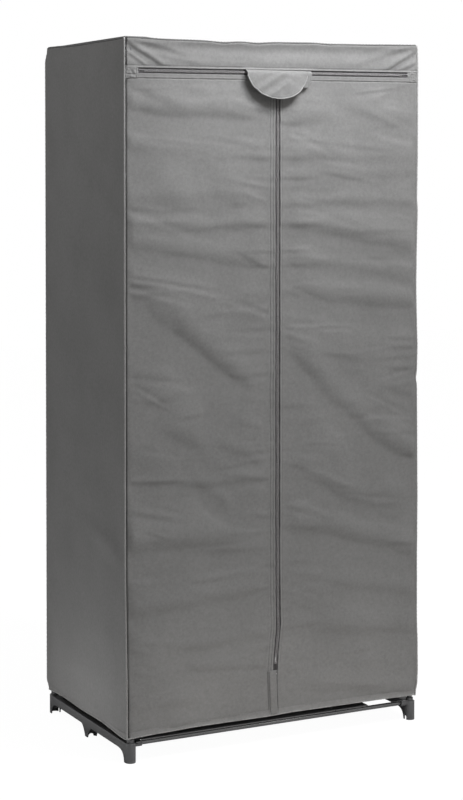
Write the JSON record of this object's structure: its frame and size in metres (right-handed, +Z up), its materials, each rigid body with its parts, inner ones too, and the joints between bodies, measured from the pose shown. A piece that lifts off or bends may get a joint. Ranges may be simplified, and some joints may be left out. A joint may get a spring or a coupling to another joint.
{
  "type": "portable fabric wardrobe",
  "caption": "Free-standing portable wardrobe: steel tube frame in moulded end rails with feet, under a nonwoven cover whose doors open along a T-shaped zip beneath a flap.",
  "frame": {"origin": "on the floor, at the middle of the footprint", "axes": "+Z up, +X to the right seen from the front, front with the doors towards -Y"},
  "size_m": [0.7616, 0.4894, 1.6],
  "materials": {
    "moulded_black": "satin moulded black with a fine grain",
    "black_steel": "black powder coat, slightly glossy",
    "dark_board": "matt charcoal-coated board",
    "grey_nonwoven": "matt warm grey nonwoven with bonded dots and soft creases",
    "grey_piping": "matt grey bound seam",
    "zip_tape": "dark woven zip tape with a nylon coil",
    "slider_metal": "dark lacquered metal"
  },
  "bodies": {
    "wardrobe": {"bottom_end_rail_left": "moulded_black", "bottom_end_rail_right": "moulded_black", "top_end_rail_left": "moulded_black", "top_end_rail_right": "moulded_black", "coupler_front_left": "moulded_black", "coupler_front_right": "moulded_black", "coupler_back_left": "moulded_black", "coupler_back_right": "moulded_black", "upright_lower_front_left": "black_steel", "upright_lower_front_right": "black_steel", "upright_lower_back_left": "black_steel", "upright_lower_back_right": "black_steel", "upright_upper_front_left": "black_steel", "upright_upper_front_right": "black_steel", "upright_upper_back_left": "black_steel", "upright_upper_back_right": "black_steel", "bottom_tube_front": "black_steel", "bottom_tube_middle": "black_steel", "bottom_tube_back": "black_steel", "top_tube_front": "black_steel", "top_tube_back": "black_steel", "hanging_rail": "black_steel", "floor_board_wide": "dark_board", "floor_board_narrow": "dark_board", "cover_side_left": "grey_nonwoven", "cover_side_right": "grey_nonwoven", "cover_back": "grey_nonwoven", "cover_top": "grey_nonwoven", "cover_front_header": "grey_nonwoven", "cover_front_skirt": "grey_nonwoven", "header_corner_left": "grey_nonwoven", "header_corner_right": "grey_nonwoven", "piping_front_left": "grey_piping", "piping_front_right": "grey_piping", "piping_back_left": "grey_piping", "piping_back_right": "grey_piping", "piping_top": "grey_piping", "zip_header": "zip_tape", "zip_stop": "slider_metal"},
    "door_left": {"door_left": "grey_nonwoven", "zip_top_left": "zip_tape", "zip_left": "zip_tape"},
    "door_right": {"door_right": "grey_nonwoven", "zip_top_right": "zip_tape", "zip_right": "zip_tape"},
    "flap": {"flap": "grey_nonwoven", "flap_facing": "grey_nonwoven"},
    "slider_centre": {"slider_centre": "slider_metal"},
    "slider_left": {"slider_left": "slider_metal"},
    "slider_right": {"slider_right": "slider_metal"},
    "pull_centre": {"pull_centre": "slider_metal"},
    "pull_left": {"pull_left": "slider_metal"},
    "pull_right": {"pull_right": "slider_metal"}
  },
  "joints": [
    {"name": "door_left_hinge", "type": "hinge", "parent": "wardrobe", "child": "door_left", "pos_m": [-0.3709, -0.2294, 0.836], "axis": [0, 0, -1], "range_deg": [0, 110]},
    {"name": "door_right_hinge", "type": "hinge", "parent": "wardrobe", "child": "door_right", "pos_m": [0.3709, -0.2294, 0.836], "axis": [0, 0, 1], "range_deg": [0, 110]},
    {"name": "flap_lift", "type": "hinge", "parent": "wardrobe", "child": "flap", "pos_m": [0, -0.2309, 1.531], "axis": [-1, 0, 0], "range_deg": [0, 100]},
    {"name": "centre_zip", "type": "slide", "parent": "wardrobe", "child": "slider_centre", "axis": [0, 0, -1], "range_m": [0, 1.326]},
    {"name": "left_top_zip", "type": "slide", "parent": "wardrobe", "child": "slider_left", "axis": [-1, 0, 0], "range_m": [0, 0.311]},
    {"name": "right_top_zip", "type": "slide", "parent": "wardrobe", "child": "slider_right", "axis": [1, 0, 0], "range_m": [0, 0.311]},
    {"name": "centre_pull_swing", "type": "hinge", "parent": "slider_centre", "child": "pull_centre", "pos_m": [0, -0.2335, 1.495], "axis": [-1, 0, 0], "range_deg": [0, 20]},
    {"name": "left_pull_swing", "type": "hinge", "parent": "slider_left", "child": "pull_left", "pos_m": [-0.03, -0.2335, 1.5245], "axis": [-1, 0, 0], "range_deg": [0, 20]},
    {"name": "right_pull_swing", "type": "hinge", "parent": "slider_right", "child": "pull_right", "pos_m": [0.03, -0.2335, 1.5245], "axis": [-1, 0, 0], "range_deg": [0, 20]}
  ]
}
